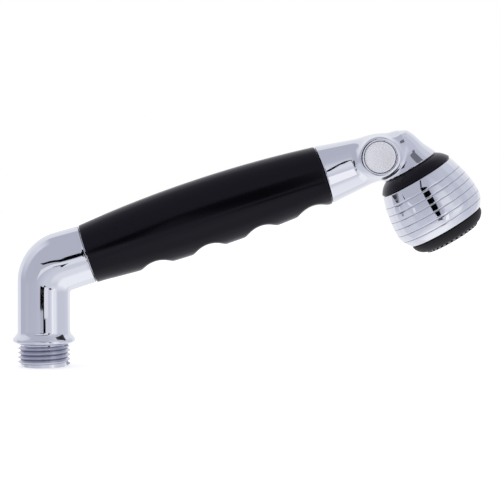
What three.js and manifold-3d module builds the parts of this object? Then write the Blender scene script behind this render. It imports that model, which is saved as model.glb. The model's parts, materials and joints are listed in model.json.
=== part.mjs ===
// Hand sprayer for a grooming tub: a chromed elbow inlet, a moulded finger grip on a water tube,
// a cast neck with a push-through shut-off valve, and a turning two-way spray head.
// Millimetres, +Z up. The origin is the centre of the inlet's end face; the handle runs towards +X.

import * as THREE from 'three';
import { mergeVertices } from 'three/addons/utils/BufferGeometryUtils.js';
import Module from 'manifold-3d';

const wasm = await Module();
wasm.setup();

const rad = THREE.MathUtils.degToRad;

// ---- Clearances ----
const seat = 0.3;                // between pieces that rest on or slide in one another

// ---- Facets round each kind of turned shape ----
const headSides = 30;
const shellSides = 26;
const boreSides = 16;
const sealSides = 14;
const sealSectionSides = 5;
const portSides = 12;

// ---- Inlet ----
const threadDiameter = 20.955;   // G1/2 male thread over its crests
const threadLength = 9.2;
const threadRelief = 1.1;        // half the depth of the thread, cut away beside the flange
const threadReliefWidth = 0.9;
const endChamfer = 1.1;
const inletBore = 11.8;          // water way through the elbow
const strainerSeat = 14;         // counterbore that holds the strainer
const strainerDepth = 12;        // from the end face to the top of the strainer's counterbore
const strainerThickness = 1.8;
const strainerRim = 0.7;         // how far the strainer's rim reaches into the water way
const strainerBar = 0.8;
const strainerPitch = 3.6;
const flangeDiameter = 25.1;
const flangeUnderside = 21.4;    // where the flange's lower bevel starts
const flangeBevel = 1;
const flangeThickness = 1.1;
const flangeShoulder = 2.1;      // height of the cone from the flange up to the pipe
const elbowDiameter = 21.3;
const elbowCorner = 39.4;        // height at which the inlet's axis meets the handle's axis
const elbowOuterBend = 20.9;     // radius of the elbow's back
const elbowInnerBend = 1.6;      // radius of the fillet in its throat
const elbowCrown = 0.6;          // how far its back stands above the grip's end where the bend ends
const elbowBoreBend = 12;        // radius of the bend of the water way's centre line

// ---- Handle ----
const handleRise = 18.4;         // degrees above level
const gripStart = 18.8;          // along the handle's axis, from the elbow's corner
const gripLength = 100;
const gripEndDiameter = 23.9;
const gripCrown = 2.6;           // how far the back of the grip swells at its middle
const gripSideSwell = 0.8;
const gripBelly = 11.4;          // depth of the sleeve under the axis, without its finger ridge
const gripCounterbore = 7.5;
const ridgeHalfWidth = 6.8;
const ridgeSwell = 2.2;
const ridgeRoot = 4.5;           // depth below the axis at which the ridge is rooted
const ridgeSquareness = 0.66;    // 1 is an ellipse, and less is squarer
const fingerRadius = 9.4;
const fingerFirst = 24.7;        // from the grip's lower end to the first finger's middle
const fingerPitch = 22.4;
const fingerDepths = [11.3, 11.6, 11.3, 10.3];   // from the axis to the floor of each finger scallop
const tubeDiameter = 14;
const tubeBore = 10;
const tubeStart = 11.1;
const tubeIntoNeck = 12.6;       // from the neck's face to the bottom of its socket
const spigotDiameter = 18.7;     // the elbow's and the neck's spigots inside the grip's ends
const tubeRingInset = 6;         // from each end of the tube to the middle of its sealing ring
const tubeGrooveDepth = 1.3;
const grooveWidth = 1.7;         // of every sealing ring's groove

// ---- Neck ----
const neckTaper = 0.14;          // radius lost for each millimetre along the handle
const neckLength = 32.7;         // from the neck's face to where the head's axis meets the handle's
const headTurn = 77.2;           // degrees from the handle's axis down to the head's axis
const knuckleDiameter = 15;      // the ball at that corner
const neckOutletDiameter = 23.7;
const neckOutletAt = 8.2;        // along the head's axis
const neckOutletSlope = 0.475;
const outletBore = 6.6;
const outletBoreTop = -2.2;      // along the head's axis, where the bore meets the valve's port
const outletSlotWidth = 2.7;     // the valve's ports are slots, narrow along the spool
const outletSlotHeight = 7.2;

// ---- Shut-off valve ----
const valveBack = 9.9;           // from the head's axis back to the valve's axis
const bossDiameter = 16.6;
const bossFoot = 18.7;
const bossInset = 0.3;           // how far the boss's faces stay inside the width of the grip's end
const bossEdge = 0.5;
const bossBand = 1.8;            // straight stretch of the boss below its face
const bossFillet = 2.7;          // along the boss, from its straight stretch to its foot
const valveBore = 10.8;
const buttonDiameter = 12.4;
const buttonThickness = 3;
const buttonDish = 0.45;
const buttonTravel = 4.5;
const spoolWaist = 6.3;
const spoolLand = 0.4;           // between the spool's waist and the grooves beside it
const spoolGrooveDepth = 1.6;
const sealOffset = 2.2;          // of the two seals beside the port, from the port's middle
const backSealOffset = 7.6;
const tenonDiameter = 4.5;
const tenonLength = 1.6;

// ---- Spray head, along its own axis from where it meets the handle's ----
const collarLength = 4.4;
const collarDiameter = 31;
const collarLip = 0.2;           // straight edges above and below the collar's shoulder
const collarBand = 0.6;
const collarArcStart = 30;       // degrees of the arc that the shoulder follows
const collarArcEnd = 80;
const collarWeb = 2.1;
const collarWall = 2.3;
const collarInnerBevel = 1.1;
const stemScrewDiameter = 10;
const stemScrewDepth = 5.5;
const stemFlangeDiameter = 16.2;
const stemFlangeThickness = 1.8;
const stemDiameter = 13;
const stemLength = 11.9;         // of the journal below the flange
const stemBore = 7.6;
const stemThroat = 6.4;          // the bore through the stem's screw
const stemGrooveDepth = 1.3;
const stemSealFirst = 2.3;       // from the flange to the middle of the first seal
const stemSealPitch = 3.3;
const clipInset = 3.3;           // from the stem's end to the middle of its clip
const clipThickness = 0.8;
const clipReach = 1.8;
const clipMouth = 4.5;
const clipGrooveDepth = 0.8;
const portDiscRecess = 10.6;
const portDiscThickness = 1.8;
const portRadius = 2.8;          // from the axis to the middle of a port
const portDiameter = 2.7;
const crossDiameter = 2.1;       // of the drilling that feeds the rim
const bellLength = 23.4;
const bellWall = 1.3;
const bellWeb = 1.5;
const bellDiameter = 37.6;       // at its widest
const bellWidestAt = 16.8;
const bellMouth = 31.6;
const bellGrooves = 6;
const bellGrooveFirst = 4.8;
const bellGroovePitch = 3.05;
const bellGrooveDepth = 0.4;
const bellGrooveWidth = 0.65;
const coreHub = 19.8;
const coreWall = 1.6;
const coreFloor = 7.5;           // depth of the hub's bearing on the stem
const distributorThickness = 5.6;
const distributorRim = 1.4;
const distributorStep = 0.9;
const portSealThickness = 1.1;
const bumperLength = 4.3;
const bumperBand = 0.5;          // straight side of the bumper below the bell
const bumperRound = 3.5;         // how far its rounded edge draws in
const bumperFullness = 1.25;     // 1 is an ellipse, and more is flatter
const bumperLip = 4;             // how far the bumper reaches up into the bell's mouth
const bumperLipWall = 0.95;      // between the bell's wall and the core
const faceDiameter = 23.4;
const faceThickness = 2.9;
const faceProud = 0.9;           // how far the face stands out of the bumper
const faceSlots = 32;
const faceSlotWidth = 1.1;
const faceSlotDepth = 1;
const faceEdge = 0.3;            // bevel round the face
const faceSkirtGap = 2.7;        // from the distributor to the top of the face's skirt
const faceGroove = 2.7;          // from the top of the face's skirt to its sealing ring
const faceGrooveDepth = 1.3;
const aeratorDiameter = 15.3;
const aeratorWall = 1.5;
const aeratorGap = 1.6;          // from the distributor to the aerator
const aeratorLip = 0.9;
const aeratorLipThickness = 1.1;
const aeratorEdge = 0.5;
const screenThickness = 0.8;
const screenPitch = 2.4;
const screenHole = 1.4;

// ---- Materials ----
const finishes = {
  chrome: { color: 0xd4d5dd, roughness: 0.08, metalness: 1 },
  satinChrome: { color: 0xcfcfda, roughness: 0.3, metalness: 1 },
  brass: { color: 0xc9a65a, roughness: 0.35, metalness: 1 },
  steel: { color: 0xb4b6ba, roughness: 0.3, metalness: 1 },
  gripBlack: { color: 0x17151a, roughness: 0.42, metalness: 0 },
  blackPlastic: { color: 0x17151a, roughness: 0.35, metalness: 0 },
  rubber: { color: 0x232327, roughness: 0.6, metalness: 0 },
  greyPlastic: { color: 0xd9d9de, roughness: 0.4, metalness: 0 },
  acetal: { color: 0xe9e7e0, roughness: 0.45, metalness: 0 },
};

// ---- Shape helpers ----

// Drops everything but positions and leaves out faces that have no area.
function bareMesh(geometry) {
  const bare = geometry.clone();
  bare.deleteAttribute('normal');
  bare.deleteAttribute('uv');
  const merged = mergeVertices(bare, 1e-4);
  const corners = merged.index.array;
  const faces = [];
  for (let i = 0; i < corners.length; i += 3) {
    const [a, b, c] = [corners[i], corners[i + 1], corners[i + 2]];
    if (a !== b && b !== c && c !== a) faces.push(a, b, c);
  }
  merged.setIndex(faces);
  return merged;
}

function toManifold(geometry) {
  const mesh = bareMesh(geometry);
  return new wasm.Manifold(new wasm.Mesh({
    numProp: 3,
    vertProperties: new Float32Array(mesh.attributes.position.array),
    triVerts: new Uint32Array(mesh.index.array),
  }));
}

function toGeometry(manifold) {
  const mesh = manifold.getMesh();
  const geometry = new THREE.BufferGeometry();
  geometry.setAttribute('position', new THREE.BufferAttribute(new Float32Array(mesh.vertProperties), 3));
  geometry.setIndex(Array.from(mesh.triVerts));
  geometry.computeVertexNormals();
  return geometry;
}

function combine(base, { add = [], cut = [] }) {
  let shape = toManifold(base);
  for (const piece of add) shape = shape.add(toManifold(piece));
  for (const piece of cut) shape = shape.subtract(toManifold(piece));
  return toGeometry(shape);
}

function moved(geometry, x, y, z) {
  return geometry.clone().translate(x, y, z);
}

// Turns a closed outline of [radius, height] points round Z.
function turned(outline, segments = shellSides) {
  let area = 0;
  outline.forEach(([r, z], i) => {
    const [nextR, nextZ] = outline[(i + 1) % outline.length];
    area += r * nextZ - nextR * z;
  });
  const ring = area > 0 ? [...outline] : [...outline].reverse();
  const onAxis = ring.some(([r]) => r === 0);
  if (onAxis) {
    while (!(ring[0][0] === 0 && ring[ring.length - 1][0] === 0)) ring.push(ring.shift());
  } else {
    ring.push(ring[0]);
  }
  const lathe = new THREE.LatheGeometry(ring.map(([r, z]) => new THREE.Vector2(r, z)), segments);
  return lathe.rotateX(Math.PI / 2);
}

function rod(diameter, from, to, segments) {
  const radius = diameter / 2;
  return turned([[0, from], [radius, from], [radius, to], [0, to]], segments);
}

function ringOf(outer, inner, from, to, segments) {
  return turned([[inner / 2, from], [outer / 2, from], [outer / 2, to], [inner / 2, to]], segments);
}

// A sealing ring of round section that fills a groove between two diameters.
function sealingRing(outer, inner, at) {
  const section = (outer - inner) / 4;
  const middle = (outer + inner) / 4;
  const outline = [];
  for (let i = 0; i < sealSectionSides; i += 1) {
    const angle = (i / sealSectionSides) * 2 * Math.PI;
    outline.push([middle + section * Math.cos(angle), at + section * Math.sin(angle)]);
  }
  return turned(outline, sealSides);
}

// A closed solid through rings of points, all with the same number of points, with flat ends.
function lofted(rings) {
  const count = rings[0].length;
  const last = (rings.length - 1) * count;
  const faces = [];
  for (let i = 0; i < last; i += count) {
    for (let j = 0; j < count; j += 1) {
      const next = (j + 1) % count;
      faces.push(i + j, i + next, i + count + next);
      faces.push(i + j, i + count + next, i + count + j);
    }
  }
  for (let j = 1; j + 1 < count; j += 1) {
    faces.push(0, j + 1, j);
    faces.push(last, last + j, last + j + 1);
  }
  const geometry = new THREE.BufferGeometry();
  const corners = rings.flat().flatMap((point) => point.toArray());
  geometry.setAttribute('position', new THREE.Float32BufferAttribute(corners, 3));
  geometry.setIndex(faces);
  geometry.computeVertexNormals();
  return geometry;
}

function smoothStep(t) {
  const clamped = THREE.MathUtils.clamp(t, 0, 1);
  return clamped * clamped * (3 - 2 * clamped);
}

const assembly = new THREE.Group();

function place(name, geometry, finish, parent) {
  const mesh = new THREE.Mesh(geometry, new THREE.MeshStandardMaterial(finishes[finish]));
  mesh.name = name;
  parent.add(mesh);
  return mesh;
}

// ---- Places along the handle ----
const gripEnd = gripStart + gripLength;
const neckStart = gripEnd + seat;
const headAlong = neckStart + neckLength;
const tubeSocket = tubeDiameter + 2 * seat;
const tubeEnd = neckStart + tubeIntoNeck - seat;
const flangeTop = threadLength + flangeBevel + flangeThickness;
const pipeStart = flangeTop + flangeShoulder;

// ---- Frames: the handle's Z runs along its axis and X points to the finger side ----
const handle = new THREE.Group();
handle.position.set(0, 0, elbowCorner);
handle.rotation.y = rad(90 - handleRise);
assembly.add(handle);

// The valve's Z runs across the handle, towards +Y.
const valve = new THREE.Group();
valve.position.set(0, 0, headAlong - valveBack);
valve.rotation.x = -Math.PI / 2;
handle.add(valve);

// The head's Z runs out of the spray face.
const head = new THREE.Group();
head.position.set(0, 0, headAlong);
head.rotation.y = rad(headTurn);
handle.add(head);

[handle, valve, head].forEach((group) => group.updateMatrix());
const fromHandle = (geometry) => geometry.applyMatrix4(handle.matrix);
const fromValve = (geometry) => geometry.applyMatrix4(valve.matrix);
const fromHead = (geometry) => geometry.applyMatrix4(head.matrix);

// ---- Elbow ----

// A pipe up the inlet's axis, round the bend and along the handle's axis, drawn between the line of its
// back and the line of its throat.
function elbowPipe({ pipe, branch, back, outerBend, innerBend, start, end, sides }) {
  const rise = rad(handleRise);
  const turn = Math.PI / 2 - rise;
  const inPlane = (x, z) => new THREE.Vector2(x, z);
  // centre of a bend, from its distances beside the inlet's axis and below the handle's axis
  const bendCentre = (beside, below) => {
    const height = (beside * Math.sin(rise) - below) / Math.cos(rise);
    return inPlane(beside, elbowCorner + height);
  };
  const outerCentre = bendCentre(outerBend - pipe, outerBend - back);
  const innerCentre = bendCentre(innerBend + pipe, innerBend + branch);
  const stations = [{ outer: inPlane(-pipe, start), inner: inPlane(pipe, start), across: pipe }];
  const bendSteps = 7;
  for (let i = 0; i <= bendSteps; i += 1) {
    const angle = (turn * i) / bendSteps;
    const spoke = inPlane(-Math.cos(angle), Math.sin(angle));
    stations.push({
      outer: spoke.clone().multiplyScalar(outerBend).add(outerCentre),
      inner: spoke.clone().multiplyScalar(innerBend).add(innerCentre),
      across: THREE.MathUtils.lerp(pipe, branch, i / bendSteps),
    });
  }
  const mouth = inPlane(end * Math.cos(rise), elbowCorner + end * Math.sin(rise));
  const up = inPlane(-Math.sin(rise), Math.cos(rise)).multiplyScalar(branch);
  stations.push({ outer: mouth.clone().add(up), inner: mouth.clone().sub(up), across: branch });
  return lofted(stations.map(({ outer, inner, across }) => {
    const middle = outer.clone().add(inner).divideScalar(2);
    const half = inner.clone().sub(outer).divideScalar(2);
    const ring = [];
    for (let j = 0; j < sides; j += 1) {
      const around = (j / sides) * 2 * Math.PI;
      const [x, z] = middle.clone().addScaledVector(half, Math.cos(around)).toArray();
      ring.push(new THREE.Vector3(x, across * Math.sin(around), z));
    }
    return ring;
  }));
}

function inletElbow() {
  const pipeRadius = elbowDiameter / 2;
  const branchRadius = gripEndDiameter / 2;
  const outer = elbowPipe({
    pipe: pipeRadius,
    branch: branchRadius,
    back: branchRadius + elbowCrown,
    outerBend: elbowOuterBend,
    innerBend: elbowInnerBend,
    start: flangeTop,
    end: gripStart - seat,
    sides: shellSides,
  });
  const boreRadius = inletBore / 2;
  const bore = elbowPipe({
    pipe: boreRadius,
    branch: boreRadius,
    back: boreRadius,
    outerBend: elbowBoreBend + boreRadius,
    innerBend: elbowBoreBend - boreRadius,
    start: -1,
    end: tubeStart,
    sides: boreSides,
  });
  const threadRadius = threadDiameter / 2;
  const reliefStart = threadLength - threadReliefWidth;
  const shank = turned([
    [0, 0],
    [threadRadius - endChamfer, 0],
    [threadRadius, endChamfer],
    [threadRadius, reliefStart],
    [threadRadius - threadRelief, reliefStart + threadRelief / 2],
    [threadRadius - threadRelief, threadLength],
    [flangeUnderside / 2, threadLength],
    [flangeDiameter / 2, threadLength + flangeBevel],
    [flangeDiameter / 2, flangeTop],
    [pipeRadius, pipeStart],
    [0, pipeStart],
  ]);
  const spigot = fromHandle(rod(spigotDiameter, gripStart - 1, gripStart + gripCounterbore - seat));
  const strainerPocket = rod(strainerSeat, -1, strainerDepth, boreSides);
  const socket = fromHandle(rod(tubeSocket, tubeStart - seat, gripStart + gripCounterbore, boreSides));
  return combine(outer, { add: [shank, spigot], cut: [bore, strainerPocket, socket] });
}

// A snap-in ring with a square grid across it.
function inletStrainer() {
  const outer = strainerSeat - 2 * seat;
  const inner = inletBore - 2 * strainerRim;
  const top = strainerDepth - seat;
  const middle = top - strainerThickness / 2;
  const bars = [];
  for (const offset of [-strainerPitch / 2, strainerPitch / 2]) {
    const bar = new THREE.BoxGeometry((inner + outer) / 2, strainerBar, strainerBar);
    bars.push(moved(bar, 0, offset, middle));
    bars.push(moved(bar.clone().rotateZ(Math.PI / 2), offset, 0, middle));
  }
  return combine(ringOf(outer, inner, top - strainerThickness, top, boreSides), { add: bars });
}

// ---- Handle tube and grip ----

function handleTube() {
  const radius = tubeDiameter / 2;
  const floor = radius - tubeGrooveDepth;
  const outline = [[tubeBore / 2, tubeStart], [radius, tubeStart]];
  for (const middle of [tubeStart + tubeRingInset, tubeEnd - tubeRingInset]) {
    const [low, high] = [middle - grooveWidth / 2, middle + grooveWidth / 2];
    outline.push([radius, low], [floor, low], [floor, high], [radius, high]);
  }
  outline.push([radius, tubeEnd], [tubeBore / 2, tubeEnd]);
  return turned(outline, boreSides);
}

function tubeRing(at) {
  return sealingRing(tubeSocket - 2 * seat, tubeDiameter - 2 * tubeGrooveDepth + 2 * seat, at);
}

// How far a place along the grip lies into its arch: 0 at both ends and 1 in the middle.
function gripArch(z) {
  const share = (2 * (z - gripStart)) / gripLength - 1;
  return 1 - share * share;
}

function gripSleeve(steps, sides) {
  const endRadius = gripEndDiameter / 2;
  const rings = [];
  for (let i = 0; i <= steps; i += 1) {
    const z = gripStart + (gripLength * i) / steps;
    const arch = gripArch(z);
    const crown = endRadius + gripCrown * arch;
    const belly = THREE.MathUtils.lerp(endRadius, gripBelly, smoothStep(3 * arch));
    const side = endRadius + gripSideSwell * arch;
    const ring = [];
    for (let j = 0; j < sides; j += 1) {
      const around = (j / sides) * 2 * Math.PI;
      const down = Math.cos(around);
      ring.push(new THREE.Vector3(down * (down > 0 ? belly : crown), side * Math.sin(around), z));
    }
    rings.push(ring);
  }
  return lofted(rings);
}

// The ridge along the finger side, squarish in section.
function fingerRidge(steps, sides) {
  const rings = [];
  for (let i = 0; i <= steps; i += 1) {
    const z = gripStart + (gripLength * i) / steps;
    const depth = gripEndDiameter / 2 + ridgeSwell * gripArch(z) - ridgeRoot;
    const ring = [];
    for (let j = 0; j <= sides; j += 1) {
      const around = Math.PI * (j / sides - 0.5);
      const across = Math.sign(around) * Math.abs(Math.sin(around)) ** ridgeSquareness;
      const down = Math.max(0, Math.cos(around)) ** ridgeSquareness;
      ring.push(new THREE.Vector3(ridgeRoot + depth * down, ridgeHalfWidth * across, z));
    }
    rings.push(ring);
  }
  return lofted(rings);
}

function grip() {
  const fingers = fingerDepths.map((depth, i) => {
    const finger = rod(2 * fingerRadius, -gripEndDiameter, gripEndDiameter, 40).rotateX(Math.PI / 2);
    return moved(finger, depth + fingerRadius, 0, gripStart + fingerFirst + i * fingerPitch);
  });
  const bore = rod(tubeSocket, gripStart - 1, gripEnd + 1, boreSides);
  const counterbore = spigotDiameter + 2 * seat;
  const lower = rod(counterbore, gripStart - 1, gripStart + gripCounterbore, boreSides);
  const upper = rod(counterbore, gripEnd - gripCounterbore, gripEnd + 1, boreSides);
  const steps = 12;
  return combine(gripSleeve(steps, shellSides), {
    add: [fingerRidge(steps, 10)],
    cut: [...fingers, bore, lower, upper],
  });
}

// ---- Neck casting ----

const neckRadius = gripEndDiameter / 2;
const bossReach = neckRadius - bossInset;                // from the middle plane to the boss's face
const buttonWell = bossReach - buttonThickness - seat;   // depth at which both buttons bottom out

function neckBody() {
  const coneEnd = headAlong + 1;
  const cone = turned([
    [0, neckStart],
    [neckRadius, neckStart],
    [neckRadius - neckTaper * (coneEnd - neckStart), coneEnd],
    [0, coneEnd],
  ]);
  const spigotStart = gripEnd - gripCounterbore + seat;
  const spigot = rod(spigotDiameter, spigotStart, neckStart + 1);
  const knuckle = moved(new THREE.SphereGeometry(knuckleDiameter / 2, 20, 12), 0, 0, headAlong);
  const outletRadius = neckOutletDiameter / 2;
  const outletTop = -3.6;
  const outlet = fromHead(turned([
    [0, outletTop],
    [outletRadius - neckOutletSlope * (neckOutletAt - outletTop), outletTop],
    [outletRadius, neckOutletAt],
    [0, neckOutletAt],
  ]));
  const [bossRadius, footRadius] = [bossDiameter / 2, bossFoot / 2];
  const bandStart = bossReach - bossBand;
  const bossSide = [
    [footRadius, bandStart - bossFillet],
    [THREE.MathUtils.lerp(bossRadius, footRadius, 0.2), bandStart - bossFillet / 3],
    [bossRadius, bandStart],
    [bossRadius, bossReach - bossEdge],
    [bossRadius - bossEdge, bossReach],
    [0, bossReach],
  ];
  const bossOther = [...bossSide].reverse().map(([r, z]) => [r, -z]);
  const boss = fromValve(turned([...bossOther, ...bossSide]));

  const socket = rod(tubeSocket, spigotStart - 1, neckStart + tubeIntoNeck, boreSides);
  const bore = fromValve(rod(valveBore, -bossReach - 1, bossReach + 1, boreSides));
  const wells = [-1, 1].map((side) => fromValve(
    rod(buttonDiameter + 2 * seat, side * buttonWell, side * (bossReach + 1), shellSides),
  ));
  const slotStart = neckStart + tubeIntoNeck - 1;
  const slot = new THREE.BoxGeometry(outletSlotHeight, outletSlotWidth, headAlong + 1 - slotStart);
  const ports = moved(slot, 0, 0, (slotStart + headAlong + 1) / 2);
  const drop = fromHead(rod(outletBore, outletBoreTop, neckOutletAt + 1, boreSides));
  const stemSocket = fromHead(rod(
    stemScrewDiameter + 2 * seat, neckOutletAt - stemScrewDepth - seat, neckOutletAt + 1, boreSides,
  ));
  return combine(cone, {
    add: [spigot, knuckle, outlet, boss],
    cut: [socket, bore, ...wells, ports, drop, stemSocket],
  });
}

// ---- Shut-off valve, shown with its front button pressed in ----

const spoolDiameter = valveBore - 2 * seat;
const spoolFront = -buttonWell;
const spoolBack = buttonWell + buttonTravel;
const spoolSeals = [-sealOffset, sealOffset, backSealOffset];

function valveSpool() {
  const radius = spoolDiameter / 2;
  const floor = radius - spoolGrooveDepth;
  const tenon = tenonDiameter / 2;
  const outline = [[0, spoolFront - tenonLength], [tenon, spoolFront - tenonLength], [tenon, spoolFront]];
  outline.push([radius, spoolFront]);
  spoolSeals.forEach((middle, i) => {
    const [low, high] = [middle - grooveWidth / 2, middle + grooveWidth / 2];
    outline.push([radius, low], [floor, low], [floor, high], [radius, high]);
    if (i === 1) {
      const waistStart = high + spoolLand;
      const waistEnd = backSealOffset - grooveWidth / 2 - spoolLand;
      outline.push([radius, waistStart], [spoolWaist / 2, waistStart]);
      outline.push([spoolWaist / 2, waistEnd], [radius, waistEnd]);
    }
  });
  outline.push([radius, spoolBack], [tenon, spoolBack]);
  outline.push([tenon, spoolBack + tenonLength], [0, spoolBack + tenonLength]);
  return turned(outline, boreSides);
}

// A dished push button whose face looks along +Z, with a socket for the spool's tenon.
function pushButton() {
  const radius = buttonDiameter / 2;
  const edge = 0.5;
  const socketDepth = tenonLength + seat;
  const socket = tenonDiameter / 2 + seat;
  const dishSteps = 3;
  const outline = [[socket, 0], [radius, 0], [radius, buttonThickness - edge]];
  outline.push([radius - edge, buttonThickness]);
  for (let i = dishSteps - 1; i >= 0; i -= 1) {
    const share = i / dishSteps;
    const dished = buttonDish * (1 - share * share);
    outline.push([share * (radius - edge), buttonThickness - dished]);
  }
  outline.push([0, socketDepth], [socket, socketDepth]);
  return turned(outline);
}

function spoolRing(at) {
  return sealingRing(valveBore - 2 * seat, spoolDiameter - 2 * spoolGrooveDepth + 2 * seat, at);
}

// ---- Spray head: heights along the head's axis ----
const collarTop = neckOutletAt + seat;
const collarBottom = collarTop + collarLength;
const stemFlangeTop = collarTop + collarWeb + seat;
const journalTop = stemFlangeTop + stemFlangeThickness;
const stemEnd = journalTop + stemLength;
const bellTop = collarBottom + seat;
const bellBottom = bellTop + bellLength;
const coreShoulder = bellTop + bellWeb + seat;
const coreTop = journalTop + seat;
const hubBottom = coreTop + coreFloor;
const clipAt = stemEnd - clipInset;
const portSealTop = stemEnd + seat;
const distributorTop = portSealTop + portSealThickness + seat;
const distributorBottom = distributorTop + distributorThickness;
const bumperTop = bellBottom + seat;
const bumperBottom = bumperTop + bumperLength;
const faceBottom = bumperBottom + faceProud;
const faceTop = faceBottom - faceThickness;
const coreBottom = faceTop - seat;
const aeratorBottom = faceBottom + seat;
const coreDiameter = bellMouth - 2 * (bellWall + bumperLipWall + 2 * seat);
const coreBore = coreDiameter - 2 * coreWall;
const skirtDiameter = coreBore - 2 * seat;
const skirtTop = distributorBottom + faceSkirtGap;
const faceSealAt = skirtTop + faceGroove;

function collar() {
  const [top, bottom] = [neckOutletDiameter / 2, collarDiameter / 2];
  const [first, last] = [rad(collarArcStart), rad(collarArcEnd)];
  const shoulderTop = collarTop + collarLip;
  const shoulderHeight = collarLength - collarLip - collarBand;
  const shoulder = [];
  const shoulderSteps = 4;
  for (let i = 0; i <= shoulderSteps; i += 1) {
    const angle = THREE.MathUtils.lerp(first, last, i / shoulderSteps);
    const out = (Math.sin(angle) - Math.sin(first)) / (Math.sin(last) - Math.sin(first));
    const down = (Math.cos(first) - Math.cos(angle)) / (Math.cos(first) - Math.cos(last));
    shoulder.push([top + (bottom - top) * out, shoulderTop + shoulderHeight * down]);
  }
  const bore = stemScrewDiameter / 2 + seat;
  const inside = bottom - collarWall;
  const webBottom = collarTop + collarWeb;
  return turned([
    [bore, collarTop],
    [top - collarLip, collarTop],
    ...shoulder,
    [bottom, collarBottom],
    [inside, collarBottom],
    [inside, webBottom + collarInnerBevel],
    [inside - collarInnerBevel, webBottom],
    [bore, webBottom],
  ]);
}

function headStem() {
  const radius = stemDiameter / 2;
  const floor = radius - stemGrooveDepth;
  const screw = stemScrewDiameter / 2;
  const outline = [
    [stemThroat / 2, neckOutletAt - stemScrewDepth],
    [screw, neckOutletAt - stemScrewDepth],
    [screw, stemFlangeTop],
    [stemFlangeDiameter / 2, stemFlangeTop],
    [stemFlangeDiameter / 2, journalTop],
    [radius, journalTop],
  ];
  const grooves = [0, 1].map((i) => [journalTop + stemSealFirst + i * stemSealPitch, grooveWidth, floor]);
  grooves.push([clipAt, clipThickness + 2 * seat, radius - clipGrooveDepth]);
  for (const [middle, width, depth] of grooves) {
    outline.push([radius, middle - width / 2], [depth, middle - width / 2]);
    outline.push([depth, middle + width / 2], [radius, middle + width / 2]);
  }
  const recess = stemEnd - portDiscThickness - seat;
  outline.push([radius, stemEnd], [portDiscRecess / 2, stemEnd]);
  outline.push([portDiscRecess / 2, recess], [stemBore / 2, recess]);
  outline.push([stemBore / 2, stemFlangeTop], [stemThroat / 2, stemFlangeTop]);
  return turned(outline, boreSides);
}

function stemRing(i) {
  const at = journalTop + stemSealFirst + i * stemSealPitch;
  return sealingRing(stemDiameter, stemDiameter - 2 * stemGrooveDepth + 2 * seat, at);
}

// A round piece with one or more holes parallel to its axis.
function drilled(blank, places, diameter, from, to) {
  const holes = places.map(([x, y]) => moved(rod(diameter, from - 1, to + 1, portSides), x, y, 0));
  return combine(blank, { cut: holes });
}

function portDisc() {
  const [from, to] = [stemEnd - portDiscThickness, stemEnd];
  const blank = rod(portDiscRecess - 2 * seat, from, to, boreSides);
  return drilled(blank, [[portRadius, 0]], portDiameter, from, to);
}

// An open snap ring in the stem's last groove.
function stemClip() {
  const inner = stemDiameter - 2 * clipGrooveDepth + 2 * seat;
  const outer = inner + 2 * clipReach;
  const [from, to] = [clipAt - clipThickness / 2, clipAt + clipThickness / 2];
  const mouth = moved(new THREE.BoxGeometry(outer, clipMouth, 3 * clipThickness), outer / 2, 0, clipAt);
  return combine(ringOf(outer, inner, from, to, boreSides), { cut: [mouth] });
}

function portSeal() {
  const to = portSealTop + portSealThickness;
  const blank = rod(stemDiameter, portSealTop, to, boreSides);
  return drilled(blank, [[portRadius, 0], [0, portRadius]], portDiameter, portSealTop, to);
}

// Radius of the bell's outside at a depth below its top edge.
function bellRadius(depth) {
  const [top, widest, mouth] = [collarDiameter / 2, bellDiameter / 2, bellMouth / 2];
  if (depth <= bellWidestAt) {
    const share = depth / bellWidestAt;
    return widest - (widest - top) * (1 - share) ** 2;
  }
  const share = (depth - bellWidestAt) / (bellLength - bellWidestAt);
  return widest - (widest - mouth) * share * share;
}

function headBell() {
  const outside = [[bellRadius(0), 0]];
  for (let i = 0; i < bellGrooves; i += 1) {
    const depth = bellGrooveFirst + i * bellGroovePitch;
    outside.push([bellRadius(depth - bellGrooveWidth / 2), depth - bellGrooveWidth / 2]);
    outside.push([bellRadius(depth) - bellGrooveDepth, depth]);
    outside.push([bellRadius(depth + bellGrooveWidth / 2), depth + bellGrooveWidth / 2]);
  }
  for (const share of [0.6, 1]) {
    const last = bellGrooveFirst + (bellGrooves - 1) * bellGroovePitch;
    const depth = THREE.MathUtils.lerp(last, bellLength, share);
    outside.push([bellRadius(depth), depth]);
  }
  const insideSteps = 2;
  const inside = [];
  for (let i = insideSteps; i >= 0; i -= 1) {
    const depth = THREE.MathUtils.lerp(bellWeb, bellLength, i / insideSteps);
    inside.push([bellRadius(depth) - bellWall, depth]);
  }
  const hole = coreHub / 2 + seat;
  const outline = [[hole, 0], ...outside, ...inside, [hole, bellWeb]];
  return turned(outline.map(([r, depth]) => [r, bellTop + depth]), headSides);
}

function headCore() {
  const bearing = stemDiameter / 2 + seat;
  const clipRoom = stemDiameter / 2 - clipGrooveDepth + seat + clipReach + 2 * seat;
  return turned([
    [bearing, coreTop],
    [coreHub / 2, coreTop],
    [coreHub / 2, coreShoulder],
    [coreDiameter / 2, coreShoulder],
    [coreDiameter / 2, coreBottom],
    [coreBore / 2, coreBottom],
    [coreBore / 2, stemEnd],
    [clipRoom, stemEnd],
    [clipRoom, hubBottom],
    [bearing, hubBottom],
  ]);
}

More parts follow.
